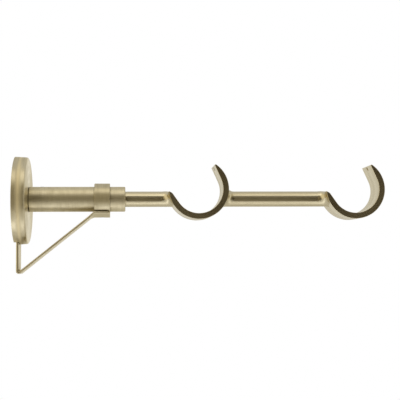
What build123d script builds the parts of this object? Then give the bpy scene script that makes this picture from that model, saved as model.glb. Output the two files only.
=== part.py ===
# Double curtain pole bracket. A round wall rose carries a tubular stem, a cast arm with two open
# pole hooks runs out of the stem, and a folded strap props the stem from the wall.
# Millimetres. The origin is on the wall, on the stem's centre line. X runs out from the wall, Z is up.
import math
import os

from build123d import *

os.makedirs("parts", exist_ok=True)

# Poles
pole_diameter = 28.0
pole_play = 0.5
rear_pole_reach = 109.3
pole_spacing = 95.2
pole_rise = 5.5

# Hooks
hook_band = 3.5
hook_width = 20.4
mouth_flare_angle = 24.0
lip_flare_angle = 35.0
lip_drop = 2.5
lip_lead = 3.0
lip_round = 1.6
tip_trim = 1.3
hook_edge_chamfer = 0.12
tip_hole_diameter = 2.4
tip_hole_from_end = 2.9

# Arm
arm_diameter = 9.3
arm_root_round = 4.0
groove_height = 3.4
groove_web = 6.6
groove_corner = 0.9
groove_floor_hollow = 6.0
groove_end_gap = 4.1
first_groove_end_gap = 4.6
groove_start_gap = 0.8
arm_plug_length = 20.0
arm_plug_recess = 0.3

# Stem
stem_diameter = 15.0
stem_wall = 1.5
stem_end_reach = 65.4
stem_end_chamfer = 0.9
stem_back_chamfer = 0.4
sliding_clearance = 0.05

# Rose
rose_diameter = 52.6
rose_depth = 7.9
rose_taper = 0.35
rose_wall = 1.2
rose_edge_chamfer = 0.9
rose_hole_diameter = 13.5
rose_notch_side_gap = 0.4
rose_notch_front_gap = 0.3

# Wall plate and spigot
plate_gap = 0.95
plate_thickness = 1.2
wall_screw_circle = 32.0
wall_screw_count = 3
wall_screw_hole = 4.8
rivet_diameter = 8.0
spigot_length = 24.0

# Collar
collar_reach = 46.9
collar_length = 9.3
collar_diameter = 19.0
collar_edge_chamfer = 0.4

# Strut
strap_width = 15.0
strap_thickness = 1.5
strap_end_flat = 1.0
strap_fold_inside = 0.2
strut_angle = 38.6
strut_foot_drop = 44.4
saddle_corner_round = 1.5
saddle_twist_length = 3.4

# Lock screws
screw_diameter = 4.0
screw_length = 4.9
screw_clearance = 0.05
socket_flats = 2.0
socket_depth = 2.0
stem_screw_reach = 16.0
stem_screw_sink = 0.1

# Sizes that follow from the ones above
hook_inner = (pole_diameter + 2 * pole_play) / 2
hook_outer = hook_inner + hook_band
front_pole_reach = rear_pole_reach + pole_spacing
arm_radius = arm_diameter / 2
stem_radius = stem_diameter / 2
stem_bore_radius = stem_radius - stem_wall
plug_radius = stem_bore_radius - sliding_clearance
collar_radius = collar_diameter / 2
screw_radius = screw_diameter / 2
tapped_radius = screw_radius + screw_clearance
leg_back = plate_thickness
leg_front = leg_back + strap_thickness
rose_drop = rose_hole_diameter / 2 - plug_radius
rose_radius = rose_diameter / 2
rose_front_radius = rose_radius - rose_taper
plate_radius = rose_front_radius - rose_wall - rose_drop - plate_gap


# Wall plate, a stamped disc with a rivet hole and the wall screw holes, one of them straight below
with BuildPart() as wall_plate:
    with BuildSketch(Plane.YZ):
        Circle(plate_radius)
        Circle(rivet_diameter / 2, mode=Mode.SUBTRACT)
        with PolarLocations(wall_screw_circle / 2, wall_screw_count, start_angle=-90):
            Circle(wall_screw_hole / 2, mode=Mode.SUBTRACT)
    extrude(amount=plate_thickness)
wall_plate.part.label = "wall_plate"
export_step(wall_plate.part, "parts/wall_plate.step")


# Spigot, turned, riveted into the plate and tapped from above for the stem's lock screw
spigot_end = plate_thickness + spigot_length
with BuildPart() as spigot:
    with BuildSketch(Plane.XZ):
        with BuildLine():
            Polyline(
                (0, 0),
                (0, rivet_diameter / 2),
                (plate_thickness, rivet_diameter / 2),
                (plate_thickness, plug_radius),
                (spigot_end, plug_radius),
                (spigot_end, 0),
                close=True,
            )
        make_face()
    revolve(axis=Axis.X)
    with BuildSketch(Plane.XY.offset(stem_radius)):
        with Locations((stem_screw_reach, 0)):
            Circle(tapped_radius)
    extrude(amount=-screw_length - stem_screw_sink, mode=Mode.SUBTRACT)
spigot.part.label = "spigot"
export_step(spigot.part, "parts/spigot.step")


# Rose, a spun cup hanging loosely on the spigot, notched at the foot of its rim for the strut's leg
rose_axis = Axis((0, 0, -rose_drop), (1, 0, 0))
with BuildPart() as rose:
    with BuildSketch(Plane.XZ.shift_origin((0, 0, -rose_drop))):
        with BuildLine():
            Polyline(
                (0, rose_radius - rose_wall),
                (0, rose_radius),
                (rose_depth, rose_front_radius),
                (rose_depth, rose_hole_diameter / 2),
                (rose_depth - rose_wall, rose_hole_diameter / 2),
                (rose_depth - rose_wall, rose_front_radius - rose_wall),
                close=True,
            )
        make_face()
    revolve(axis=rose_axis)
    face_rims = rose.edges().filter_by(GeomType.CIRCLE).group_by(Axis.X)[-1]
    chamfer(face_rims.sort_by(SortBy.RADIUS)[-1], rose_edge_chamfer)
    notch_width = strap_width + 2 * rose_notch_side_gap
    notch_depth = leg_front + rose_notch_front_gap
    with BuildSketch(Plane.XY.offset(-rose_drop)):
        with Locations((notch_depth / 2, 0)):
            Rectangle(notch_depth, notch_width)
    extrude(amount=-rose_diameter, mode=Mode.SUBTRACT)
rose.part.label = "rose"
export_step(rose.part, "parts/rose.step")


# Stem, a tube from the rose to the arm, drilled above for the spigot's lock screw, below for the collar's
collar_screw_reach = collar_reach + collar_length / 2
with BuildPart() as stem:
    with BuildSketch(Plane.YZ.offset(rose_depth)):
        Circle(stem_radius)
        Circle(stem_bore_radius, mode=Mode.SUBTRACT)
    extrude(amount=stem_end_reach - rose_depth)
    stem_rims = stem.edges().filter_by(GeomType.CIRCLE).group_by(SortBy.RADIUS)[-1].sort_by(Axis.X)
    chamfer(stem_rims[-1], stem_end_chamfer)
    chamfer(stem_rims[0], stem_back_chamfer)
    with BuildSketch(Plane.XY):
        with Locations((stem_screw_reach, 0)):
            Circle(tapped_radius)
    extrude(amount=stem_diameter, mode=Mode.SUBTRACT)
    with BuildSketch(Plane.XY):
        with Locations((collar_screw_reach, 0)):
            Circle(tapped_radius)
    extrude(amount=-stem_diameter, mode=Mode.SUBTRACT)
stem.part.label = "stem"
export_step(stem.part, "parts/stem.step")


# Collar, a ring on the stem that the strut's saddle is screwed to
with BuildPart() as collar:
    with BuildSketch(Plane.YZ.offset(collar_reach)):
        Circle(collar_radius)
        Circle(stem_radius + sliding_clearance, mode=Mode.SUBTRACT)
    extrude(amount=collar_length)
    chamfer(collar.edges().filter_by(GeomType.CIRCLE).group_by(SortBy.RADIUS)[-1], collar_edge_chamfer)
    with BuildSketch(Plane.XY):
        with Locations((collar_screw_reach, 0)):
            Circle(tapped_radius)
    extrude(amount=-collar_diameter, mode=Mode.SUBTRACT)
collar.part.label = "collar"
export_step(collar.part, "parts/collar.step")


# Strut, one strap: a leg behind the rose, a sharp fold, a straight prop and a saddle under the collar
rise = math.radians(strut_angle)
fold_outside = strap_fold_inside + strap_thickness
fold_corner = -strut_foot_drop - fold_outside * (1 / math.tan((math.pi / 2 - rise) / 2) - 1)
leg_hole_height = -wall_screw_circle / 2
leg_top = leg_hole_height + strap_width / 2
prop_end_x = collar_reach - saddle_twist_length
prop_end_under_x = prop_end_x + strap_thickness / 2 * math.sin(rise)
prop_end_under_z = fold_corner + (prop_end_under_x - leg_back) * math.tan(rise)
prop_end_z = prop_end_under_z + strap_thickness / 2 * math.cos(rise)
prop_end = Plane(
    origin=(prop_end_x, 0, prop_end_z),
    x_dir=(0, 1, 0),
    z_dir=(math.cos(rise), 0, math.sin(rise)),
)
saddle_inside = collar_radius + sliding_clearance
saddle_outside = saddle_inside + strap_thickness
saddle_half_angle = math.degrees(strap_width / (saddle_inside + saddle_outside))
with BuildSketch(Plane.YZ.offset(collar_reach)) as saddle_section:
    with BuildLine():
        under = CenterArc((0, 0), saddle_outside, 270 - saddle_half_angle, 2 * saddle_half_angle)
        over = CenterArc((0, 0), saddle_inside, 270 - saddle_half_angle, 2 * saddle_half_angle)
        Line(under @ 0, over @ 0)
        Line(under @ 1, over @ 1)
    make_face()
with BuildPart() as strut:
    with BuildSketch(Plane.XZ):
        with BuildLine():
            FilletPolyline(
                (leg_back, leg_top),
                (leg_back, fold_corner),
                (prop_end_under_x, prop_end_under_z),
                radius=fold_outside,
            )
            offset(amount=strap_thickness, side=Side.LEFT)
        make_face()
    extrude(amount=strap_width / 2, both=True)
    fillet(strut.edges().filter_by(Axis.X).group_by(Axis.Z)[-1], (strap_width - strap_end_flat) / 2)
    with BuildSketch(prop_end):
        Rectangle(strap_width, strap_thickness)
    add(saddle_section.sketch)
    loft()
    extrude(saddle_section.sketch, amount=collar_length)
    saddle_end = strut.faces().sort_by(Axis.X)[-1]
    fillet(saddle_end.edges().filter_by(GeomType.LINE), saddle_corner_round)
    with BuildSketch(Plane.YZ):
        with Locations((0, leg_hole_height)):
            Circle(wall_screw_hole / 2)
    extrude(amount=leg_front, mode=Mode.SUBTRACT)
    with BuildSketch(Plane.XY):
        with Locations((collar_screw_reach, 0)):
            Circle(tapped_radius)
    extrude(amount=-collar_diameter, mode=Mode.SUBTRACT)
strut.part.label = "strut"
export_step(strut.part, "parts/strut.step")


# The open space of a hook about its pole's centre, with both flares and the arm's top running in
mouth_flare = math.radians(mouth_flare_angle)
lip_flare = math.radians(180 + lip_flare_angle)
mouth_out = Vector(math.cos(mouth_flare), math.sin(mouth_flare))
mouth_start = mouth_out * hook_inner
mouth_way = Vector(-math.sin(mouth_flare), math.cos(mouth_flare))
tip_length = math.sqrt(hook_outer**2 - hook_inner**2)
tip_inside = mouth_start + mouth_way * (tip_length - tip_trim)
lip_start = Vector(math.cos(lip_flare), math.sin(lip_flare)) * hook_inner
lip_way = Vector(math.sin(lip_flare), -math.cos(lip_flare))
lip_inside = lip_start + lip_way * ((-lip_drop - lip_start.Y) / lip_way.Y)
arm_top = arm_radius + sliding_clearance / 2 - pole_rise
arm_top_end = Vector(-hook_outer - lip_lead, arm_top)
clear_of_hook = hook_outer + 3 * arm_root_round
tip_clear = tip_inside + mouth_out * clear_of_hook
with BuildSketch() as hook_space:
    with BuildLine():
        Polyline(tip_clear, tip_inside, mouth_start)
        CenterArc((0, 0), hook_inner, 180 + lip_flare_angle, 180 - lip_flare_angle + mouth_flare_angle)
        Line(lip_start, lip_inside)
        TangentArc(arm_top_end, lip_inside, tangent=(1, 0))
        Polyline(
            arm_top_end,
            (-clear_of_hook, arm_top),
            (-clear_of_hook, tip_clear.Y),
            tip_clear,
        )
    make_face()
    fillet(hook_space.vertices().sort_by_distance(lip_inside)[0], lip_round)


# Arm, cast in one with both hooks: a root plug inside the stem, a round bar with hollow grooves on both
# sides, rounded roots where the bar meets each hook, and a screw hole near each hook's tip
plug_end = stem_end_reach - arm_plug_recess
hook_centres = [(rear_pole_reach, pole_rise), (front_pole_reach, pole_rise)]
bar_to_hook = math.sqrt(hook_outer**2 - pole_rise**2)
groove_spans = [
    (stem_end_reach + groove_start_gap, rear_pole_reach - bar_to_hook - first_groove_end_gap),
    (rear_pole_reach + bar_to_hook + groove_end_gap, front_pole_reach - bar_to_hook - groove_end_gap),
]
with BuildPart() as grooves:
    for groove_start, groove_end in groove_spans:
        with BuildSketch(Plane.XZ.offset(groove_web / 2)):
            with Locations(((groove_start + groove_end) / 2, 0)):
                RectangleRounded(groove_end - groove_start, groove_height, groove_corner)
        extrude(amount=arm_radius)
    with BuildSketch(Plane.YZ):
        with Locations((-groove_web / 2 - groove_floor_hollow, 0)):
            Circle(groove_floor_hollow)
    extrude(amount=front_pole_reach, mode=Mode.INTERSECT)
    mirror(about=Plane.XZ)
tip_hole = mouth_start + mouth_way * (tip_length - tip_hole_from_end)
tip_hole_planes = [
    Plane(
        origin=(reach + tip_hole.X, 0, rise_of_pole + tip_hole.Y),
        x_dir=(0, 1, 0),
        z_dir=(math.cos(mouth_flare), 0, math.sin(mouth_flare)),
    )
    for reach, rise_of_pole in hook_centres
]
with BuildPart() as arm:
    with BuildSketch(Plane.YZ.offset(plug_end)):
        Circle(plug_radius)
    extrude(amount=-arm_plug_length)
    with BuildSketch(Plane.YZ.offset(plug_end)):
        Circle(arm_radius)
    extrude(amount=front_pole_reach - plug_end)
    with BuildSketch(Plane.XZ):
        with Locations(*hook_centres):
            Circle(hook_outer)
    extrude(amount=hook_width / 2, both=True)
    roots = arm.edges().filter_by(lambda edge: edge.geom_type not in (GeomType.LINE, GeomType.CIRCLE))
    fillet(roots, arm_root_round)
    with BuildSketch(Plane.XZ):
        with Locations(*hook_centres):
            add(hook_space.sketch)
    extrude(amount=hook_width, both=True, mode=Mode.SUBTRACT)
    near_sides = arm.faces().filter_by(Axis.Y).group_by(Axis.Y)[0]
    far_sides = arm.faces().filter_by(Axis.Y).group_by(Axis.Y)[-1]
    chamfer(near_sides.edges() + far_sides.edges(), hook_edge_chamfer)
    add(grooves.part, mode=Mode.SUBTRACT)
    with BuildSketch(*tip_hole_planes):
        Circle(tip_hole_diameter / 2)
    extrude(amount=hook_band, both=True, mode=Mode.SUBTRACT)
arm.part.label = "arm"
export_step(arm.part, "parts/arm.step")


# Lock screws, headless with a hexagon socket: one up through saddle, collar and stem, one down into the
# spigot. Each is given by its reach, the height of its outer end and its way in.
screws = [
    (collar_screw_reach, -plug_radius - screw_length, 1),
    (stem_screw_reach, stem_radius - stem_screw_sink, -1),
]
with BuildPart() as lock_screws:
    for reach, outer_end, inward in screws:
        with BuildSketch(Plane.XY.offset(outer_end)):
            with Locations((reach, 0)):
                Circle(screw_radius)
        extrude(amount=inward * screw_length)
        with BuildSketch(Plane.XY.offset(outer_end)):
            with Locations((reach, 0)):
                RegularPolygon(socket_flats / 2, 6, major_radius=False)
        extrude(amount=inward * socket_depth, mode=Mode.SUBTRACT)
lock_screws.part.label = "lock_screws"
export_step(lock_screws.part, "parts/lock_screws.step")
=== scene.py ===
"""Looks for a double curtain pole bracket in satin brass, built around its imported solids."""
import functools
import math

import bmesh
import bpy
from bpy.props import FloatProperty, FloatVectorProperty, IntProperty, PointerProperty
from bpy.types import NodeSocket, Operator, Panel, PropertyGroup
from mathutils import Matrix, Vector


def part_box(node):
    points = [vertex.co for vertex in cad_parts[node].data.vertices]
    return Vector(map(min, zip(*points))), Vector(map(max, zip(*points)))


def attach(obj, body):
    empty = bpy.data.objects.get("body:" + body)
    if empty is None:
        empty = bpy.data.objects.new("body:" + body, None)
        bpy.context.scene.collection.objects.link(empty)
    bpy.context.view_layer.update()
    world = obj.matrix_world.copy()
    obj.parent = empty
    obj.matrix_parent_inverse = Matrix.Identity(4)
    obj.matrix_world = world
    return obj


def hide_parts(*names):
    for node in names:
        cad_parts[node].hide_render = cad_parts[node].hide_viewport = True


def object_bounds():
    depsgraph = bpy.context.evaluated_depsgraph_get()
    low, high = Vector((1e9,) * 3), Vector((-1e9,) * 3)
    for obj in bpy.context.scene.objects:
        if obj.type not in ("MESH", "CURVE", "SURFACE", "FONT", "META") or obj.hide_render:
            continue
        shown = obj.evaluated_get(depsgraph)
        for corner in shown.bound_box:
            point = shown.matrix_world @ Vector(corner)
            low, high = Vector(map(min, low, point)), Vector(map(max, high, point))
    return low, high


bl_info = {
    "name": "Curtain Pole Bracket",
    "version": (1, 0, 0),
    "blender": (4, 5, 0),
    "location": "3D View > Sidebar > Bracket",
    "description": "Dresses a double curtain pole bracket in satin brass and sets its studio",
    "category": "Object",
}

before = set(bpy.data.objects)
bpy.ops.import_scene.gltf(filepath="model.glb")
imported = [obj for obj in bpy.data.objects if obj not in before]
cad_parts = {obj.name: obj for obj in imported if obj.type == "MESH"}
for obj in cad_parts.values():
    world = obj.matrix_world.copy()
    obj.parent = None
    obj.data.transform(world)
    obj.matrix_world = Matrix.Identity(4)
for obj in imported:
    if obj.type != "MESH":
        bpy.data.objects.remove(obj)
CAD_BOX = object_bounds()
BODY = "root"
MM = 0.001
IMAGE_SIZE = 400
NEUTRAL = (1.0, 1.0, 1.0)


def length_property(name, description, millimetres):
    """A length that a user may change, given in millimetres and kept in metres."""
    return FloatProperty(
        name=name, description=description, default=millimetres * MM, unit="LENGTH", precision=5
    )


def angle_property(name, description, degrees):
    """An angle, given in degrees and kept in radians."""
    return FloatProperty(name=name, description=description, default=math.radians(degrees), subtype="ANGLE")


def share_property(name, description, value):
    """A share between nothing and all."""
    return FloatProperty(
        name=name, description=description, default=value, min=0.0, max=1.0, subtype="FACTOR"
    )


def colour_property(name, description, red, green, blue):
    """A linear colour."""
    return FloatVectorProperty(
        name=name, description=description, default=(red, green, blue), min=0.0, max=2.0, subtype="COLOR"
    )


class RoseSizes(PropertyGroup):
    """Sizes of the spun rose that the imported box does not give."""

    wall: length_property("Wall", "Thickness of the spun sheet", 1.2)
    taper: length_property("Taper", "How much smaller the rim's radius is at the face", 0.35)
    edge_round: length_property("Edge round", "Radius between rim and face", 1.3)
    lip_round: length_property("Lip round", "Radius of the small edges", 0.2)
    hole_diameter: length_property("Hole", "Hole that hangs on the spigot", 13.5)
    notch_side_gap: length_property("Notch side gap", "Room beside the strut's leg", 0.4)
    notch_depth: length_property("Notch depth", "How far the notch runs in from the wall", 3.0)
    segments: IntProperty(name="Segments", description="Steps round the rose", default=180, min=24)


class RingSizes(PropertyGroup):
    """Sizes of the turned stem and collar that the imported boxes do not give."""

    stem_wall: length_property("Stem wall", "Wall of the stem's tube", 1.5)
    stem_round: length_property("Stem round", "Radius of the stem's end edges", 0.7)
    collar_bore: length_property("Collar bore", "Inside diameter of the collar", 15.1)
    collar_round: length_property("Collar round", "Radius of the collar's edges", 0.4)
    hole_diameter: length_property("Screw holes", "Holes for the lock screws", 4.1)
    segments: IntProperty(name="Segments", description="Steps round a ring", default=128, min=24)


class ScrewSizes(PropertyGroup):
    """Sizes of the headless lock screws."""

    pitch: length_property("Pitch", "Rise of the thread in one turn", 0.7)
    thread_depth: length_property("Thread depth", "Depth of the thread", 0.36)
    socket_flats: length_property("Socket", "Width of the hexagon socket across its flats", 2.0)
    socket_depth: length_property("Socket depth", "Depth of the hexagon socket", 2.0)


class StrutSizes(PropertyGroup):
    """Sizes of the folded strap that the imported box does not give."""

    thickness: length_property("Thickness", "Thickness of the strap", 1.5)
    edge_round: length_property("Edge round", "Radius of the drawn strap's edges", 0.7)
    end_flat: length_property("End flat", "Straight piece left at the top of the leg's round end", 1.0)
    corner_round: length_property("Corner round", "Radius of the saddle's corners", 1.5)
    fold_inside: length_property("Fold", "Inside radius of the sharp fold at the foot", 0.2)
    twist_length: length_property("Twist", "Length along X in which the strap curves into the saddle", 3.4)
    saddle_gap: length_property("Saddle gap", "Room between collar and saddle", 0.05)
    hole_height: length_property("Hole height", "Height of the wall screw's hole in the leg", -16.0)
    hole_diameter: length_property("Wall screw hole", "Hole in the leg", 4.8)
    angle: angle_property("Angle", "Rise of the prop above level", 38.6)


class FinishSettings(PropertyGroup):
    """Colours and gloss of the finishes."""

    brass_bright: colour_property("Bright brass", "Satin brass at its brightest", 0.732, 0.666, 0.492)
    brass_shade: colour_property("Shaded brass", "Satin brass between its lines", 0.588, 0.528, 0.372)
    brass_grazing: colour_property("Grazed brass", "Tint of light that grazes the brass", 0.90, 0.86, 0.74)
    cast_grazing: colour_property("Grazed casting", "Tint of light that grazes the arm", 0.80, 0.78, 0.72)
    # The coarse belt's lighter colour is a painted sheen, a painted reflection round the middle of the rim.
    painted_belt_sheen: colour_property("Coarse belt", "Coarsely brushed belt round the rose", 0.98, 0.90, 0.68)
    zinc_bright: colour_property("Bright zinc", "Zinc plate at its brightest", 0.66, 0.66, 0.64)
    zinc_shade: colour_property("Shaded zinc", "Zinc plate at its darkest", 0.45, 0.46, 0.47)
    screw_bright: colour_property("Rubbed screw", "Blackened steel where it is rubbed", 0.22, 0.21, 0.20)
    screw_shade: colour_property("Black screw", "Blackened steel", 0.05, 0.048, 0.045)
    turned_roughness: share_property("Turned roughness", "Roughness of the turned brass", 0.46)
    collar_roughness: share_property("Collar roughness", "Roughness of the collar", 0.53)
    cast_roughness: share_property("Cast roughness", "Roughness of the cast brass", 0.32)
    strap_roughness: share_property("Strap roughness", "Roughness of the strap", 0.34)
    zinc_roughness: share_property("Zinc roughness", "Roughness of the zinc plate", 0.38)
    screw_roughness: share_property("Screw roughness", "Roughness of the blackened steel", 0.42)


class StageSettings(PropertyGroup):
    """Camera, lamps and surroundings of the studio."""

    camera_place: FloatVectorProperty(
        name="Camera",
        description="Place of the camera",
        default=(0.064166, -0.558081, -0.038171),
        subtype="TRANSLATION",
        unit="LENGTH",
        precision=5,
    )
    camera_yaw: angle_property("Yaw", "Turn to the right of +Y", 4.757)
    camera_pitch: angle_property("Pitch", "Tilt above the horizon", 3.848)
    camera_roll: angle_property("Roll", "Turn about the view", -0.401)
    focal_pixels: FloatProperty(
        name="Focal length", description="Focal length in pixels of the square picture", default=923.606
    )
    lamp_radiance: FloatProperty(name="Lamp level", description="Brightness of both lamps", default=0.850)
    floor_height: length_property("Floor height", "Height of the floor below the stem", -320.0)
    floor_radius: length_property("Floor radius", "Radius of the round floor", 620.0)
    floor_colour: colour_property("Floor", "Pale floor", 0.85, 0.85, 0.84)
    backdrop: colour_property("Backdrop", "White behind the bracket", 1.0, 1.0, 1.0)
    room_back: colour_property("Back of the room", "Soft light behind the bracket", 0.667, 0.658, 0.633)
    room_front: colour_property("Front of the room", "Warm light beside the camera", 0.61, 0.53, 0.335)
    left_screen: colour_property("Left screen", "Bright screen left of the camera", 0.917, 0.817, 0.583)
    right_screen: colour_property("Right screen", "Bright screen out past the hooks", 0.92, 0.885, 0.79)
    camera_side: colour_property("Camera side", "Dim room behind the camera", 0.045, 0.034, 0.017)


class BracketSettings(PropertyGroup):
    """Everything that a user would change on the bracket."""

    rose: PointerProperty(type=RoseSizes)
    rings: PointerProperty(type=RingSizes)
    screws: PointerProperty(type=ScrewSizes)
    strut: PointerProperty(type=StrutSizes)
    finish: PointerProperty(type=FinishSettings)
    stage: PointerProperty(type=StageSettings)


# Node helpers


def add_node(tree, kind, inputs=None, **options):
    """Adds a node, sets its options, and links or sets each input that is named."""
    made = tree.nodes.new(kind)
    for option, value in options.items():
        setattr(made, option, value)
    for key, value in (inputs or {}).items():
        socket = made.inputs[key]
        if isinstance(value, NodeSocket):
            tree.links.new(value, socket)
        else:
            socket.default_value = value
    return made


def result(tree, kind, inputs=None, **options):
    """The first output of a new node."""
    return add_node(tree, kind, inputs, **options).outputs[0]


def reckon(tree, operation, *values):
    """One step of arithmetic, as its output socket."""
    return result(tree, "ShaderNodeMath", dict(enumerate(values)), operation=operation)


def times(tree, first, second):
    """The product of two values."""
    return reckon(tree, "MULTIPLY", first, second)


def reckon_vector(tree, operation, *values):
    """One step of vector arithmetic, as the outputs Vector and Value."""
    return add_node(tree, "ShaderNodeVectorMath", dict(enumerate(values)), operation=operation).outputs


def spread(tree, value, low, high, to_low=0.0, to_high=1.0, smooth=False):
    """A value mapped from one range to another, kept within the new range."""
    ranges = {"Value": value, "From Min": low, "From Max": high, "To Min": to_low, "To Max": to_high}
    kind = "SMOOTHSTEP" if smooth else "LINEAR"
    return result(tree, "ShaderNodeMapRange", ranges, interpolation_type=kind)


def split(tree, vector):
    """The outputs X, Y and Z of a vector."""
    return add_node(tree, "ShaderNodeSeparateXYZ", {"Vector": vector}).outputs


def along(tree, **axes):
    """A vector of the axes that are named."""
    return result(tree, "ShaderNodeCombineXYZ", axes)


def mixed(tree, factor, first, second):
    """Two colours mixed by a factor."""
    return add_node(tree, "ShaderNodeMix", {0: factor, 6: first, 7: second}, data_type="RGBA").outputs[2]


def opaque(colour):
    """A colour with its alpha."""
    return (*colour, 1.0)


def noise(tree, vector, scale, detail, roughness=0.55):
    """A grey noise along a vector."""
    values = {"Vector": vector, "Scale": scale, "Detail": detail, "Roughness": roughness}
    return result(tree, "ShaderNodeTexNoise", values)


def node_group(kind, name, inputs, outputs):
    """An empty node group, and the sockets that give its inputs and take its outputs.

    Each of them has a name and the kind of its socket, or the default of a float.
    """
    group = bpy.data.node_groups.new(name, f"{kind}NodeTree")
    for side, sockets in (("INPUT", inputs), ("OUTPUT", outputs)):
        for label, value in sockets.items():
            number = isinstance(value, float)
            socket_type = "NodeSocketFloat" if number else f"NodeSocket{value}"
            socket = group.interface.new_socket(label, in_out=side, socket_type=socket_type)
            if number:
                socket.default_value = value
    return group, group.nodes.new("NodeGroupInput").outputs, group.nodes.new("NodeGroupOutput").inputs


def put_out(group, end, **values):
    """A node group whose outputs take these values."""
    for label, value in values.items():
        group.links.new(value, end[label])
    return group


def made_once(build):
    """Lets the maker of a node group give back the group that has its name already."""

    @functools.wraps(build)
    def find_or_build():
        name = build.__name__
        group = bpy.data.node_groups.get(name)
        return build(name) if group is None else group

    return find_or_build


# Patterns that the finishes share, each with fine lines and broad bands


def pattern_group(name):
    """An empty pattern with its place and rate as inputs."""
    inputs = {"Vector": "Vector", "Marks per Metre": 3000.0}
    return node_group("Shader", name, inputs, {"Lines": "Float", "Bands": "Float"})


# The noise of fine specks, as grain_group takes it
SPECKS = ((1.0, 1.0, 1.0), 4.0, 0.65)


def grain_group(name, fine, broad):
    """A pattern of two noises, each with its shares of the rate along X, Y and Z, detail and roughness."""
    group, given, end = pattern_group(name)
    values = {}
    for label, (shares, detail, roughness) in (("Lines", fine), ("Bands", broad)):
        place = reckon_vector(group, "MULTIPLY", given["Vector"], shares)["Vector"]
        values[label] = noise(group, place, given["Marks per Metre"], detail, roughness)
    return put_out(group, end, **values)


@made_once
def drawn_lines(name):
    """Lines along a strap that bends in the upright plane through X: they vary across Y."""
    lengthwise = 0.02
    bands_per_line = 0.15
    fine = ((lengthwise, 1.0, lengthwise), 3.0, 0.6)
    broad = ((lengthwise, bands_per_line, lengthwise), 2.0, 0.55)
    return grain_group(name, fine, broad)


@made_once
def satin_grain(name):
    """The blasted grain of a satin surface: fine specks and slow clouds."""
    cloud_share = 0.03
    return grain_group(name, SPECKS, ((cloud_share, cloud_share, cloud_share), 3.0, 0.55))


@made_once
def polished_casting(name):
    """A satin casting polished along its length: fine specks, and streaks that vary across Y."""
    streak_share = 0.04
    lengthwise = 0.1 * streak_share
    return grain_group(name, SPECKS, ((lengthwise, streak_share, lengthwise), 2.0, 0.55))


@made_once
def turned_lines(name):
    """Brush lines that run round the X axis: fine lines and broader bands."""
    group, given, end = pattern_group(name)
    face_share = 1.37
    drift = 0.9
    bands_per_line = 0.12
    across = reckon_vector(group, "MULTIPLY", given["Vector"], (0.0, 1.0, 1.0))["Vector"]
    radius = reckon_vector(group, "LENGTH", across)["Value"]
    heading = reckon_vector(group, "NORMALIZE", across)["Vector"]
    turn = reckon_vector(group, "MULTIPLY", heading, (drift, drift, drift))["Vector"]
    run = reckon(group, "MULTIPLY_ADD", radius, face_share, split(group, given["Vector"])["X"])
    run = times(group, run, given["Marks per Metre"])
    slow = times(group, run, bands_per_line)
    fine = reckon_vector(group, "ADD", turn, along(group, X=run))["Vector"]
    broad = reckon_vector(group, "ADD", turn, along(group, X=slow))["Vector"]
    lines = noise(group, fine, scale=1.0, detail=3.0, roughness=0.6)
    bands = noise(group, broad, scale=1.0, detail=2.0)
    return put_out(group, end, Lines=lines, Bands=bands)


# Masks for edges, corners and patches that differ from the rest of a piece


@made_once
def joint_grime(name):
    """A mask for painted shade, high in the corners where pieces meet, where little light reaches."""
    group, given, end = node_group("Shader", name, {"Reach": 1.5 * MM}, {"Grime": "Float"})
    corner = add_node(group, "ShaderNodeAmbientOcclusion", {"Distance": given["Reach"]}, samples=8)
    return put_out(group, end, Grime=spread(group, corner.outputs["AO"], low=0.75, high=0.35))


@made_once
def edge_rub(name):
    """A mask that is high along edges, where handling rubs a finish bright and where a highlight is
    painted.
    """
    group, given, end = node_group("Shader", name, {"Width": 0.35 * MM}, {"Rub": "Float"})
    rounded = result(group, "ShaderNodeBevel", {"Radius": given["Width"]}, samples=6)
    normal = add_node(group, "ShaderNodeNewGeometry").outputs["Normal"]
    facing = reckon_vector(group, "DOT_PRODUCT", rounded, normal)["Value"]
    return put_out(group, end, Rub=spread(group, facing, low=0.995, high=0.86))


@made_once
def belt(name):
    """A mask round the X axis that is high at one reach and fades out on both sides."""
    inputs = {"Vector": "Vector", "Middle": 0.0, "Half Width": 2.0 * MM}
    group, given, end = node_group("Shader", name, inputs, {"Mask": "Float"})
    reach = split(group, given["Vector"])["X"]
    away = reckon(group, "ABSOLUTE", reckon(group, "SUBTRACT", reach, given["Middle"]))
    return put_out(group, end, Mask=spread(group, away, given["Half Width"], 0.0, smooth=True))


@made_once
def outer_face(name):
    """A mask of the faces that look away from the wall."""
    group, _, end = node_group("Shader", name, {}, {"Mask": "Float"})
    outward = split(group, add_node(group, "ShaderNodeNewGeometry").outputs["Normal"])["X"]
    return put_out(group, end, Mask=spread(group, outward, low=0.6, high=0.9))


@made_once
def groove_floor(name):
    """A mask of faces that look sideways from within a half width, such as the floors of side grooves."""
    inputs = {"Vector": "Vector", "Half Width": 4.0 * MM}
    group, given, end = node_group("Shader", name, inputs, {"Mask": "Float"})
    place = split(group, given["Vector"])["Y"]
    inside = reckon(group, "LESS_THAN", reckon(group, "ABSOLUTE", place), given["Half Width"])
    sideways = split(group, add_node(group, "ShaderNodeNewGeometry").outputs["Normal"])["Y"]
    facing = spread(group, reckon(group, "ABSOLUTE", sideways), low=0.5, high=0.8)
    return put_out(group, end, Mask=times(group, inside, facing))


# Finishes


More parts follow.
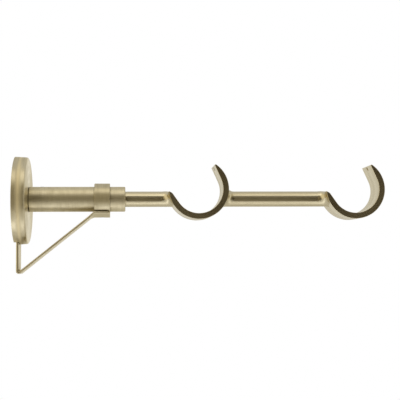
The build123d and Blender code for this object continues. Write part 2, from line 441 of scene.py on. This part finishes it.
def metal_finish(
    name,
    pattern,
    rate,
    shade,
    bright,
    roughness,
    grazing=NEUTRAL,
    centre_height=0.0,
    brushed=0.0,
    patches=(),
    swing=0.05,
    grime_share=0.8,
):
    """A metal whose colour, roughness and relief follow a shared pattern, rubbed brighter at its edges with
    a painted highlight.

    The roughness swings about its mean with the pattern. Each patch is a mask's group, the values of its
    inputs, a colour or none, and what it adds to the roughness. The painted shade in the corners has a
    share.
    Light that only grazes the metal takes a tint of its own.
    """
    band_share = 0.6
    line_share = 0.4
    rub_and_highlight_share = 0.6
    rub_and_highlight_gain = 1.12
    rub_gloss = 0.06
    corner_dark_share = 0.35
    relief = 0.02 * MM
    relief_share = 0.25
    quarter_turn = 0.25
    material = bpy.data.materials.new(name)
    material.use_nodes = True
    tree = material.node_tree
    surface = tree.nodes["Principled BSDF"].inputs
    place = add_node(tree, "ShaderNodeTexCoord").outputs["Object"]
    centred = result(tree, "ShaderNodeMapping", {"Vector": place, "Location": (0.0, 0.0, -centre_height)})
    rates = {"Vector": centred, "Marks per Metre": rate}
    marks = add_node(tree, "ShaderNodeGroup", rates, node_tree=pattern).outputs
    rub_and_highlight = result(tree, "ShaderNodeGroup", node_tree=edge_rub())
    grime = result(tree, "ShaderNodeGroup", node_tree=joint_grime())
    tone = times(tree, marks["Lines"], line_share)
    tone = reckon(tree, "MULTIPLY_ADD", marks["Bands"], band_share, tone)
    gloss = spread(tree, tone, low=0.3, high=0.7, to_low=roughness + swing, to_high=roughness - swing)
    lightness = spread(tree, tone, low=0.32, high=0.68)
    colour = mixed(tree, lightness, opaque(shade), opaque(bright))
    for group, values, tint, added in patches:
        patch = add_node(tree, "ShaderNodeGroup", values, node_tree=group)
        if "Vector" in patch.inputs:
            tree.links.new(place, patch.inputs["Vector"])
        mask = patch.outputs["Mask"]
        gloss = reckon(tree, "MULTIPLY_ADD", mask, added, gloss)
        if tint:
            colour = mixed(tree, mask, colour, opaque(tint))
    # The edges' lighter colour is partly rubbed wear and partly a painted highlight.
    rubbed = tuple(min(1.0, rub_and_highlight_gain * channel) for channel in bright)
    # The corners' darker colour is painted shade.
    corner_dark = tuple(corner_dark_share * channel for channel in shade)
    colour = mixed(tree, times(tree, rub_and_highlight, rub_and_highlight_share), colour, opaque(rubbed))
    colour = mixed(tree, times(tree, grime, grime_share), colour, opaque(corner_dark))
    gloss = reckon(tree, "SUBTRACT", gloss, times(tree, rub_and_highlight, rub_gloss))
    height = {"Height": marks["Lines"], "Strength": relief_share, "Distance": relief}
    tree.links.new(colour, surface["Base Color"])
    tree.links.new(gloss, surface["Roughness"])
    tree.links.new(result(tree, "ShaderNodeBump", height), surface["Normal"])
    surface["Metallic"].default_value = 1.0
    surface["Specular Tint"].default_value = opaque(grazing)
    if brushed:
        surface["Anisotropic"].default_value = brushed
        surface["Anisotropic Rotation"].default_value = quarter_turn
        around = result(tree, "ShaderNodeTangent", direction_type="RADIAL", axis="X")
        tree.links.new(around, surface["Tangent"])
    return material


def brass_finish(name, pattern, rate, roughness, **options):
    """A finish in the bracket's satin brass, with its grazing tint unless another is given."""
    finish = bpy.context.scene.bracket.finish
    options.setdefault("grazing", finish.brass_grazing)
    return metal_finish(name, pattern, rate, finish.brass_shade, finish.brass_bright, roughness, **options)


def dress(piece, material):
    """Gives a piece one finish."""
    piece.data.materials.clear()
    piece.data.materials.append(material)


# Shape helpers


def new_object(name, data):
    """An object at the origin that holds a mesh, a lamp or a camera."""
    made = bpy.data.objects.new(name, data)
    bpy.context.scene.collection.objects.link(made)
    return made


def settle(piece):
    """Turns what a piece's modifiers make into its own plain mesh."""
    bpy.context.view_layer.update()
    graph = bpy.context.evaluated_depsgraph_get()
    mesh = bpy.data.meshes.new_from_object(piece.evaluated_get(graph))
    old = piece.data
    piece.modifiers.clear()
    piece.data = mesh
    mesh.name = piece.name
    bpy.data.meshes.remove(old)
    return piece


def keep_flats(piece):
    """Shades a piece smoothly with its broad faces flat, so that only its rounds turn the light."""
    crease = math.radians(40.0)
    for face in piece.data.polygons:
        face.use_smooth = True
    piece.data.set_sharp_from_angle(angle=crease)
    weights = piece.modifiers.new("flats", "WEIGHTED_NORMAL")
    weights.mode = "FACE_AREA"
    weights.keep_sharp = True
    return settle(piece)


def stand_for(piece, node):
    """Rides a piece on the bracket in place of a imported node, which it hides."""
    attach(piece, BODY)
    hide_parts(node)


def lock_screw_places():
    """The reach of the near and of the far lock screw, and their radius."""
    low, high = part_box("lock_screws")
    radius = (high.y - low.y) / 2.0
    return low.x + radius, high.x - radius, radius


def mesh_of(name, shape):
    """A mesh made of an edit mesh, which is given up."""
    mesh = bpy.data.meshes.new(name)
    shape.to_mesh(mesh)
    shape.free()
    return mesh


def quarter(centre, radius, start, steps=6):
    """Points of a quarter circle in reach and radius, turning clockwise from a start angle in degrees."""
    angles = [math.radians(start - 90.0 * step / steps) for step in range(steps + 1)]
    return [(centre[0] + radius * math.cos(a), centre[1] + radius * math.sin(a)) for a in angles]


def turned_rings(outline, segments, centre_height):
    """Copies of a closed outline in reach and radius, turned about the X direction."""
    rings = []
    for step in range(segments):
        angle = 2.0 * math.pi * step / segments
        sine, cosine = math.sin(angle), math.cos(angle)
        rings.append([(x, r * sine, r * cosine + centre_height) for x, r in outline])
    return rings


def lofted_piece(name, rings, closed):
    """A piece with a skin over rings of points, closed back to the first ring or capped at both ends."""
    shape = bmesh.new()
    loops = [[shape.verts.new(point) for point in ring] for ring in rings]
    followers = loops[1:] + loops[:1] if closed else loops[1:]
    for loop, following in zip(loops, followers):
        for index in range(len(loop)):
            after = (index + 1) % len(loop)
            shape.faces.new((loop[index], loop[after], following[after], following[index]))
    if not closed:
        shape.faces.new(loops[0])
        shape.faces.new(loops[-1])
    bmesh.ops.recalc_face_normals(shape, faces=shape.faces)
    return new_object(name, mesh_of(name, shape))


def cut_shape(piece, shape, matrix):
    """Cuts a closed shape, moved by a matrix, out of a piece."""
    bmesh.ops.transform(shape, verts=shape.verts, matrix=matrix)
    mesh = mesh_of("cutter", shape)
    cutter = new_object("cutter", mesh)
    cut = piece.modifiers.new("cut", "BOOLEAN")
    cut.object = cutter
    cut.operation = "DIFFERENCE"
    cut.solver = "EXACT"
    settle(piece)
    bpy.data.objects.remove(cutter)
    bpy.data.meshes.remove(mesh)


def cut_box(piece, low, high):
    """Cuts a box out of a piece."""
    shape = bmesh.new()
    bmesh.ops.create_cube(shape, size=1.0)
    cut_shape(piece, shape, Matrix.LocRotScale((low + high) / 2.0, None, high - low))


def cut_hole(piece, centre, axis, diameter, depth):
    """Drills a round hole through a piece."""
    shape = bmesh.new()
    bmesh.ops.create_cone(
        shape, cap_ends=True, segments=48, radius1=diameter / 2.0, radius2=diameter / 2.0, depth=depth
    )
    turn = Vector((0.0, 0.0, 1.0)).rotation_difference(axis)
    cut_shape(piece, shape, Matrix.LocRotScale(centre, turn, None))


# The strut's strap


def strap_section(half_width, half_depth, edge_round):
    """A rounded rectangle across the strap, as pairs of place across and place through."""
    round_steps = 5
    flat_steps = 8
    edge = min(edge_round, half_depth)
    across = half_width - edge
    through = half_depth - edge
    points = []
    for turn, (side_y, side_z) in enumerate(((1, 1), (-1, 1), (-1, -1), (1, -1))):
        for step in range(round_steps + 1):
            angle = math.pi / 2.0 * (turn + step / round_steps)
            y = side_y * across + edge * math.cos(angle)
            z = side_z * through + edge * math.sin(angle)
            points.append((y, z))
        if turn in (0, 2):
            for step in range(1, flat_steps):
                y = side_y * across * (1.0 - 2.0 * step / flat_steps)
                points.append((y, side_z * half_depth))
    return points


def strap_rings(sizes, low, high, collar_radius):
    """Rings of points from the leg's round end, round the fold and up the prop, to the saddle's end."""
    end_steps = 10
    fold_steps = 10
    prop_steps = 6
    twist_steps = 4
    corner_steps = 6
    half = (high.y - low.y) / 2.0
    depth = sizes.thickness / 2.0
    edge = sizes.edge_round
    saddle_radius = collar_radius + sizes.saddle_gap + depth
    sideways = Vector((0.0, 1.0, 0.0))
    rings = []

    def add_flat(centre, inward, half_width, half_depth=depth):
        """Adds a ring across the flat strap."""
        points = strap_section(half_width, half_depth, edge)
        rings.append([centre + sideways * y + inward * t for y, t in points])

    def saddle_ring(reach, half_width):
        """A ring across the strap where it lies round the collar."""
        ring = []
        for y, t in strap_section(half_width, depth, edge):
            angle = y / saddle_radius
            radius = saddle_radius - t
            ring.append(Vector((reach, radius * math.sin(angle), -radius * math.cos(angle))))
        return ring

    # The leg's round end
    inward = Vector((1.0, 0.0, 0.0))
    half_flat = sizes.end_flat / 2.0
    end_radius = half - half_flat
    leg_top = Vector((low.x + depth, 0.0, sizes.hole_height + half))
    add_flat(leg_top, inward, half_flat + edge, depth - edge / 2.0)
    for step in range(1, end_steps + 1):
        angle = math.pi / 2.0 * step / end_steps
        centre = leg_top - Vector((0.0, 0.0, end_radius * (1.0 - math.cos(angle))))
        add_flat(centre, inward, max(half_flat + end_radius * math.sin(angle), 2.0 * edge))
    # The fold at the foot
    fold_radius = sizes.fold_inside + depth
    fold_centre = Vector((low.x + depth + fold_radius, 0.0, low.z + depth + fold_radius))
    for step in range(fold_steps + 1):
        angle = (math.pi / 2.0 + sizes.angle) * step / fold_steps
        inward = Vector((math.cos(angle), 0.0, math.sin(angle)))
        add_flat(fold_centre - inward * fold_radius, inward, half)
    # The straight prop
    start = fold_centre - inward * fold_radius
    slope = Vector((math.cos(sizes.angle), 0.0, math.sin(sizes.angle)))
    collar_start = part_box("collar")[0].x
    prop_end = start + slope * ((collar_start - sizes.twist_length - start.x) / slope.x)
    for step in range(1, prop_steps + 1):
        add_flat(start.lerp(prop_end, step / prop_steps), inward, half)
    # The curve into the saddle
    flat_end = rings[-1]
    saddle_start = saddle_ring(collar_start, half)
    for step in range(1, twist_steps + 1):
        share = step / twist_steps
        rings.append([a.lerp(b, share) for a, b in zip(flat_end, saddle_start)])
    # The saddle with its rounded corners
    for step in range(corner_steps + 1):
        angle = math.pi / 2.0 * (1.0 - step / corner_steps)
        reach = high.x - sizes.corner_round * (1.0 - math.cos(angle))
        rings.append(saddle_ring(reach, half - sizes.corner_round * (1.0 - math.sin(angle))))
    return rings


# Geometry trees


def grow(name, tree, values):
    """A piece with the plain mesh that a geometry tree makes of these values."""
    piece = new_object(name, bpy.data.meshes.new(name))
    modifier = piece.modifiers.new("grow", "NODES")
    modifier.node_group = tree
    sockets = [item for item in tree.interface.items_tree if item.item_type == "SOCKET"]
    names = {item.name: item.identifier for item in sockets if item.in_out == "INPUT"}
    for label, value in values.items():
        modifier[names[label]] = value
    return settle(piece)


def geometry_tree(name, lengths, others):
    """An empty geometry tree with lengths and other inputs, and the sockets at its ends."""
    inputs = {**dict.fromkeys(lengths, "Float"), **others, "Material": "Material"}
    return node_group("Geometry", name, inputs, {"Geometry": "Geometry"})


def finish_tree(tree, geometry, material, end):
    """A geometry tree that ends with real geometry in its own material."""
    real = result(tree, "GeometryNodeRealizeInstances", {"Geometry": geometry})
    dressed = result(tree, "GeometryNodeSetMaterial", {"Geometry": real, "Material": material})
    return put_out(tree, end, Geometry=dressed)


def moved(tree, geometry, **axes):
    """Geometry moved along the axes that are named."""
    return result(tree, "GeometryNodeTransform", {"Geometry": geometry, "Translation": along(tree, **axes)})


def cylinder(tree, sides, radius, depth):
    """A closed cylinder along Z."""
    return result(tree, "GeometryNodeMeshCylinder", {"Vertices": sides, "Radius": radius, "Depth": depth})


def circle(tree, sides, radius):
    """A round curve."""
    return result(tree, "GeometryNodeCurvePrimitiveCircle", {"Resolution": sides, "Radius": radius})


def carved(tree, mesh, tool):
    """A mesh with a tool's shape cut out of it."""
    meshes = {"Mesh 1": mesh, "Mesh 2": tool}
    return result(tree, "GeometryNodeMeshBoolean", meshes, operation="DIFFERENCE", solver="EXACT")


def joined(tree, *meshes):
    """Meshes that overlap, joined into one skin."""
    union = add_node(tree, "GeometryNodeMeshBoolean", operation="UNION", solver="EXACT")
    for mesh in meshes:
        tree.links.new(mesh, union.inputs["Mesh 2"])
    return union.outputs["Mesh"]


def welded(tree, mesh):
    """A mesh without the slivers that a cut leaves."""
    sliver = 0.005 * MM
    return result(tree, "GeometryNodeMergeByDistance", {"Geometry": mesh, "Distance": sliver})


@made_once
def turned_ring(name):
    """A turned ring on the X axis with rounded edges, and screw holes that start below and change sides."""
    lengths = ("Start", "Length", "Outer Radius", "Bore Radius", "Edge Round")
    hole_lengths = ("First Hole", "Hole Step", "Hole Radius")
    counts = {"Segments": "Int", "Hole Count": "Int"}
    tree, given, end = geometry_tree(name, lengths + hole_lengths, counts)
    round_steps = 6
    hole_sides = 48
    outer = given["Outer Radius"]
    bore = given["Bore Radius"]
    sides = {"Width": reckon(tree, "SUBTRACT", outer, bore), "Height": given["Length"]}
    section = result(tree, "GeometryNodeCurvePrimitiveQuadrilateral", sides)
    rounding = {"Curve": section, "Count": round_steps, "Radius": given["Edge Round"]}
    rounded = result(tree, "GeometryNodeFilletCurve", rounding, mode="POLY")
    middle = times(tree, reckon(tree, "ADD", outer, bore), 0.5)
    sweep = {"Curve": circle(tree, given["Segments"], middle), "Profile Curve": rounded}
    ring = result(tree, "GeometryNodeCurveToMesh", sweep)
    laid = result(tree, "GeometryNodeTransform", {"Geometry": ring, "Rotation": (0.0, math.pi / 2.0, 0.0)})
    laid = moved(tree, laid, X=reckon(tree, "MULTIPLY_ADD", given["Length"], 0.5, given["Start"]))
    drops = {
        "Count": given["Hole Count"],
        "Start Location": along(tree, X=given["First Hole"], Z=times(tree, outer, -1.0)),
        "Offset": along(tree, X=given["Hole Step"], Z=times(tree, outer, 2.0)),
    }
    row = result(tree, "GeometryNodeMeshLine", drops)
    drill = cylinder(tree, hole_sides, given["Hole Radius"], outer)
    drills = result(tree, "GeometryNodeInstanceOnPoints", {"Points": row, "Instance": drill})
    return finish_tree(tree, welded(tree, carved(tree, laid, drills)), given["Material"], end)


@made_once
def lock_screw(name):
    """Two headless screws, each a core with a hexagon socket and a thread, the second one turned over."""
    lengths = ("Length", "Radius", "Pitch", "Thread Depth", "Socket Flats", "Socket Depth")
    tree, given, end = geometry_tree(name, lengths, {"First": "Vector", "Second": "Vector"})
    core_sides = 40
    turn_steps = 40
    ridge_sides = 4
    hexagon = 6
    corner = 0.5 / math.cos(math.pi / hexagon)
    half_depth = times(tree, given["Thread Depth"], 0.5)
    core_radius = reckon(tree, "SUBTRACT", given["Radius"], half_depth)
    core = cylinder(tree, core_sides, core_radius, given["Length"])
    key_radius = times(tree, given["Socket Flats"], corner)
    key = cylinder(tree, hexagon, key_radius, times(tree, given["Socket Depth"], 2.0))
    key = moved(tree, key, Z=times(tree, given["Length"], -0.5))
    ridge_run = reckon(tree, "SUBTRACT", given["Length"], given["Pitch"])
    winding = {
        "Resolution": turn_steps,
        "Rotations": reckon(tree, "DIVIDE", ridge_run, given["Pitch"]),
        "Start Radius": core_radius,
        "End Radius": core_radius,
        "Height": ridge_run,
    }
    helix = result(tree, "GeometryNodeCurveSpiral", winding)
    ridge = circle(tree, ridge_sides, half_depth)
    sweep = {"Curve": helix, "Profile Curve": ridge, "Fill Caps": True}
    thread = result(tree, "GeometryNodeCurveToMesh", sweep)
    thread = moved(tree, thread, Z=times(tree, ridge_run, -0.5))
    screw = welded(tree, joined(tree, carved(tree, core, key), thread))
    ends = {"Count": 2, "Start Location": given["First"], "Offset": given["Second"]}
    pair = result(tree, "GeometryNodeMeshLine", ends, mode="END_POINTS")
    turn = times(tree, result(tree, "GeometryNodeInputIndex"), math.pi)
    setting = {"Points": pair, "Instance": screw, "Rotation": along(tree, X=turn)}
    screws = result(tree, "GeometryNodeInstanceOnPoints", setting)
    return finish_tree(tree, screws, given["Material"], end)


# Stage


def lay_floor(settings, middle):
    """A round pale floor, nearly white to the camera, that fades at its rim and is clear from below."""
    seen_share = 0.8
    mirrored_share = 0.15
    fade_start = 0.5 * settings.floor_radius
    centre = (middle, 0.0, settings.floor_height)
    shape = bmesh.new()
    bmesh.ops.create_circle(shape, cap_ends=True, radius=settings.floor_radius, segments=96)
    bmesh.ops.translate(shape, verts=shape.verts, vec=centre)
    floor = new_object("floor", mesh_of("floor", shape))
    material = bpy.data.materials.new("pale_floor")
    material.use_nodes = True
    tree = material.node_tree
    tree.nodes.remove(tree.nodes["Principled BSDF"])
    matt = result(tree, "ShaderNodeBsdfDiffuse", {"Color": opaque(settings.floor_colour)})
    white = result(tree, "ShaderNodeEmission", {"Color": opaque(settings.backdrop), "Strength": 1.0})
    clear = result(tree, "ShaderNodeBsdfTransparent")
    rays = add_node(tree, "ShaderNodeLightPath").outputs
    place = add_node(tree, "ShaderNodeTexCoord").outputs["Object"]
    away = reckon_vector(tree, "DISTANCE", place, centre)["Value"]
    seen = spread(tree, away, fade_start, settings.floor_radius, seen_share, 1.0, smooth=True)
    share = times(tree, rays["Is Glossy Ray"], mirrored_share)
    share = reckon(tree, "MULTIPLY_ADD", rays["Is Camera Ray"], seen, share)
    below = add_node(tree, "ShaderNodeNewGeometry").outputs["Backfacing"]
    upper = result(tree, "ShaderNodeMixShader", {0: share, 1: matt, 2: white})
    both = result(tree, "ShaderNodeMixShader", {0: below, 1: upper, 2: clear})
    tree.links.new(both, tree.nodes["Material Output"].inputs["Surface"])
    dress(floor, material)


def hang_lamps(settings, middle):
    """Two long soft strips, one over the bracket and one under it, both on the camera's side.

    Each has a name, a place, a width, a depth and its share of the lamps' brightness.
    """
    strips = (
        ("strip_above", Vector((middle, -0.355, 0.67)), 0.9, 0.46, 1.0),
        ("strip_below", Vector((middle, -0.085, -0.31)), 0.9, 0.17, 0.95),
    )
    for name, place, width, depth, share in strips:
        lamp = bpy.data.lights.new(name, "AREA")
        lamp.shape = "RECTANGLE"
        lamp.size = width
        lamp.size_y = depth
        lamp.energy = share * settings.lamp_radiance * math.pi * width * depth
        holder = new_object(name, lamp)
        aim = Vector((middle, 0.0, 0.0)) - place
        turn = aim.to_track_quat("-Z", "Y").to_matrix().to_4x4()
        holder.matrix_world = Matrix.Translation(place) @ turn
        holder.visible_camera = False


def light_room(scene, settings):
    """Soft light all round, white behind the bracket and dim behind the camera, which sees only white.

    Each layer has a tint, and the bounds along X or Y between which a direction goes over to it.
    """
    front = ("Y", 0.20, -0.30)
    layers = (
        (settings.room_front, front),
        (settings.left_screen, ("X", -0.30, -0.55), front),
        (settings.right_screen, ("X", 0.80, 0.95)),
        (settings.backdrop, ("Y", 0.80, 0.98)),
        (settings.camera_side, ("Y", -0.35, -0.85), ("X", -0.40, -0.16)),
    )
    world = bpy.data.worlds.new("studio")
    world.use_nodes = True
    tree = world.node_tree
    background = tree.nodes["Background"].inputs
    axes = split(tree, add_node(tree, "ShaderNodeTexCoord").outputs["Generated"])
    colour = opaque(settings.room_back)
    for tint, *bounds in layers:
        share = 1.0
        for axis, start, full in bounds:
            within = spread(tree, axes[axis], start, full, smooth=True)
            share = times(tree, share, within)
        colour = mixed(tree, share, colour, opaque(tint))
    rays = add_node(tree, "ShaderNodeLightPath").outputs
    seen = reckon(tree, "MAXIMUM", rays["Is Camera Ray"], rays["Is Transmission Ray"])
    colour = mixed(tree, seen, colour, opaque(settings.backdrop))
    tree.links.new(colour, background["Color"])
    background["Strength"].default_value = 1.0
    scene.world = world


def place_camera(scene, settings):
    """The camera at the picture's own angle, without shift or depth of field."""
    sensor = 36.0
    data = bpy.data.cameras.new("camera")
    data.sensor_width = sensor
    data.lens = settings.focal_pixels * sensor / IMAGE_SIZE
    data.clip_start = 0.01
    camera = new_object("camera", data)
    turn = Matrix.Rotation(-settings.camera_yaw, 4, "Z")
    turn @= Matrix.Rotation(math.pi / 2.0 + settings.camera_pitch, 4, "X")
    turn @= Matrix.Rotation(settings.camera_roll, 4, "Z")
    camera.matrix_world = Matrix.Translation(settings.camera_place) @ turn
    scene.camera = camera


# Operators


class BRACKET_OT_rose(Operator):
    """Make the spun rose with its rounded edge and the notch for the strut's leg"""

    bl_idname = "bracket.rose"
    bl_label = "Rose"

    def execute(self, context):
        sizes = context.scene.bracket.rose
        finish = context.scene.bracket.finish
        low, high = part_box("rose")
        back, face = low.x, high.x
        radius = (high.y - low.y) / 2.0
        centre_height = high.z - radius
        face_radius = radius - sizes.taper
        hole = sizes.hole_diameter / 2.0
        lip = sizes.lip_round
        edge = sizes.edge_round
        inside = face - sizes.wall
        outline = (
            quarter((back + lip, radius - lip), lip, 180.0)
            + quarter((face - edge, face_radius - edge), edge, 90.0)
            + quarter((face - lip, hole + lip), lip, 0.0)
            + [(inside, hole), (inside, face_radius - sizes.wall), (back, radius - sizes.wall)]
        )
        rings = turned_rings(outline, sizes.segments, centre_height)
        rose = lofted_piece("rose_cover", rings, closed=True)
        strut_low, strut_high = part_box("strut")
        half_notch = (strut_high.y - strut_low.y) / 2.0 + sizes.notch_side_gap
        cut_box(
            rose,
            Vector((back - sizes.notch_depth, -half_notch, centre_height - 2.0 * radius)),
            Vector((back + sizes.notch_depth, half_notch, centre_height)),
        )
        keep_flats(rose)
        # The belt round the middle of the rim is brushed rougher, and its lighter colour is a painted
        # sheen.
        belt_share = 0.33
        belt_roughness = 0.40
        face_polish = -0.15
        belt_sizes = {"Middle": (back + face) / 2.0, "Half Width": belt_share * (face - back)}
        material = brass_finish(
            "rose_satin",
            turned_lines(),
            rate=2200.0,
            roughness=finish.turned_roughness,
            centre_height=centre_height,
            brushed=0.8,
            patches=(
                (belt(), belt_sizes, finish.painted_belt_sheen, belt_roughness),
                (outer_face(), {}, None, face_polish),
            ),
        )
        dress(rose, material)
        stand_for(rose, "rose")
        return {"FINISHED"}


class BRACKET_OT_rings(Operator):
    """Make the stem's tube and the collar round it, turned, with rounded edges and screw holes"""

    bl_idname = "bracket.rings"
    bl_label = "Stem and collar"

    def execute(self, context):
        sizes = context.scene.bracket.rings
        finish = context.scene.bracket.finish
        stem = {
            "Bore Radius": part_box("stem")[1].y - sizes.stem_wall,
            "Edge Round": sizes.stem_round,
            "Hole Count": 2,
        }
        collar = {
            "Bore Radius": sizes.collar_bore / 2.0,
            "Edge Round": sizes.collar_round,
            "Hole Count": 1,
        }
        self.turn_ring("stem_tube", "stem", sizes, stem, finish.turned_roughness, brushed=0.0)
        self.turn_ring("collar_ring", "collar", sizes, collar, finish.collar_roughness, brushed=0.8)
        return {"FINISHED"}

    def turn_ring(self, name, node, sizes, own, roughness, brushed):
        """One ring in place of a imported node, whose screw holes are counted from the far one."""
        low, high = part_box(node)
        near_hole, far_hole, _ = lock_screw_places()
        values = {
            "Start": low.x,
            "Length": high.x - low.x,
            "Outer Radius": high.y,
            "Segments": sizes.segments,
            "First Hole": far_hole,
            "Hole Step": near_hole - far_hole,
            "Hole Radius": sizes.hole_diameter / 2.0,
            "Material": brass_finish(
                f"{node}_satin", turned_lines(), rate=2600.0, roughness=roughness, brushed=brushed
            ),
        }
        ring = keep_flats(grow(name, turned_ring(), {**values, **own}))
        stand_for(ring, node)


class BRACKET_OT_lock_screws(Operator):
    """Make the threaded lock screws with their hexagon sockets"""

    bl_idname = "bracket.lock_screws"
    bl_label = "Lock screws"

    def execute(self, context):
        sizes = context.scene.bracket.screws
        finish = context.scene.bracket.finish
        near, far, radius = lock_screw_places()
        middle = (near + far) / 2.0
        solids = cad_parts["lock_screws"].data.vertices
        near_heights = [vertex.co.z for vertex in solids if vertex.co.x < middle]
        far_heights = [vertex.co.z for vertex in solids if vertex.co.x > middle]
        length = max(near_heights) - min(near_heights)
        values = {
            "First": (far, 0.0, max(far_heights) - length / 2.0),
            "Second": (near, 0.0, max(near_heights) - length / 2.0),
            "Length": length,
            "Radius": radius,
            "Pitch": sizes.pitch,
            "Thread Depth": sizes.thread_depth,
            "Socket Flats": sizes.socket_flats,
            "Socket Depth": sizes.socket_depth,
            "Material": metal_finish(
                "screw_blackened",
                satin_grain(),
                rate=5000.0,
                shade=finish.screw_shade,
                bright=finish.screw_bright,
                roughness=finish.screw_roughness,
            ),
        }
        crease = math.radians(30.0)
        screws = grow("lock_screw_pair", lock_screw(), values)
        screws.data.set_sharp_from_angle(angle=crease)
        stand_for(screws, "lock_screws")
        return {"FINISHED"}


class BRACKET_OT_arm(Operator):
    """Finish the cast arm and its hooks in fine satin brass"""

    bl_idname = "bracket.arm"
    bl_label = "Arm"

    def execute(self, context):
        finish = context.scene.bracket.finish
        floor_roughness = 0.10
        material = brass_finish(
            "arm_satin",
            polished_casting(),
            rate=3500.0,
            roughness=finish.cast_roughness,
            grazing=finish.cast_grazing,
            patches=((groove_floor(), {"Half Width": 4.0 * MM}, None, floor_roughness),),
            swing=0.12,
            # Less painted shade in the arm's corners.
            grime_share=0.25,
        )
        dress(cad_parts["arm"], material)
        return {"FINISHED"}


class BRACKET_OT_strut(Operator):
    """Make the folded strap of the strut with its rounded edges, and finish it with lines along it"""

    bl_idname = "bracket.strut"
    bl_label = "Strut"

    def execute(self, context):
        sizes = context.scene.bracket.strut
        finish = context.scene.bracket.finish
        low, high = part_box("strut")
        collar_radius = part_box("collar")[1].y
        rings = strap_rings(sizes, low, high, collar_radius)
        strut = lofted_piece("strap_strut", rings, closed=False)
        depth = 10.0 * sizes.thickness
        hole = Vector((low.x, 0.0, sizes.hole_height))
        cut_hole(strut, hole, Vector((1.0, 0.0, 0.0)), sizes.hole_diameter, depth)
        hole = Vector((lock_screw_places()[1], 0.0, -collar_radius - sizes.thickness))
        cut_hole(strut, hole, Vector((0.0, 0.0, 1.0)), context.scene.bracket.rings.hole_diameter, depth)
        keep_flats(strut)
        material = brass_finish(
            "strut_satin", drawn_lines(), rate=2600.0, roughness=finish.strap_roughness
        )
        dress(strut, material)
        stand_for(strut, "strut")
        return {"FINISHED"}


class BRACKET_OT_wall_fixing(Operator):
    """Finish the zinc plated wall plate and the turned spigot riveted into it"""

    bl_idname = "bracket.wall_fixing"
    bl_label = "Wall plate and spigot"

    def execute(self, context):
        finish = context.scene.bracket.finish
        zinc = metal_finish(
            "plate_zinc",
            satin_grain(),
            rate=1400.0,
            shade=finish.zinc_shade,
            bright=finish.zinc_bright,
            roughness=finish.zinc_roughness,
        )
        turned = brass_finish(
            "spigot_turned",
            turned_lines(),
            rate=3000.0,
            roughness=finish.turned_roughness,
            grazing=NEUTRAL,
        )
        dress(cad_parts["wall_plate"], zinc)
        dress(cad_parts["spigot"], turned)
        return {"FINISHED"}


class BRACKET_OT_stage(Operator):
    """Set the pale floor, the strip lamps, the surroundings and the camera"""

    bl_idname = "bracket.stage"
    bl_label = "Stage"

    def execute(self, context):
        settings = context.scene.bracket.stage
        middle = (CAD_BOX[0].x + CAD_BOX[1].x) / 2.0
        lay_floor(settings, middle)
        hang_lamps(settings, middle)
        light_room(context.scene, settings)
        place_camera(context.scene, settings)
        context.scene.view_settings.view_transform = "Standard"
        return {"FINISHED"}


class BRACKET_PT_panel(Panel):
    """Lists the bracket's pieces and the values behind them"""

    bl_idname = "BRACKET_PT_panel"
    bl_label = "Curtain Pole Bracket"
    bl_space_type = "VIEW_3D"
    bl_region_type = "UI"
    bl_category = "Bracket"

    def draw(self, context):
        layout = self.layout
        settings = context.scene.bracket
        for operator in OPERATORS:
            layout.operator(operator.bl_idname)
        for title in ("rose", "rings", "screws", "strut", "finish", "stage"):
            box = layout.box()
            box.label(text=title.capitalize())
            values = getattr(settings, title)
            for value in values.bl_rna.properties:
                if value.identifier not in ("name", "rna_type"):
                    box.prop(values, value.identifier)


OPERATORS = (
    BRACKET_OT_rose,
    BRACKET_OT_rings,
    BRACKET_OT_lock_screws,
    BRACKET_OT_arm,
    BRACKET_OT_strut,
    BRACKET_OT_wall_fixing,
    BRACKET_OT_stage,
)
SETTINGS = (RoseSizes, RingSizes, ScrewSizes, StrutSizes, FinishSettings, StageSettings, BracketSettings)
CLASSES = (*SETTINGS, *OPERATORS, BRACKET_PT_panel)


def register():
    for kind in CLASSES:
        bpy.utils.register_class(kind)
    bpy.types.Scene.bracket = PointerProperty(type=BracketSettings)


def unregister():
    del bpy.types.Scene.bracket
    for kind in reversed(CLASSES):
        bpy.utils.unregister_class(kind)


def main():
    """Builds every piece and the stage."""
    register()
    bpy.ops.bracket.rose()
    bpy.ops.bracket.rings()
    bpy.ops.bracket.lock_screws()
    bpy.ops.bracket.arm()
    bpy.ops.bracket.strut()
    bpy.ops.bracket.wall_fixing()
    bpy.ops.bracket.stage()


if __name__ == "__main__":
    main()
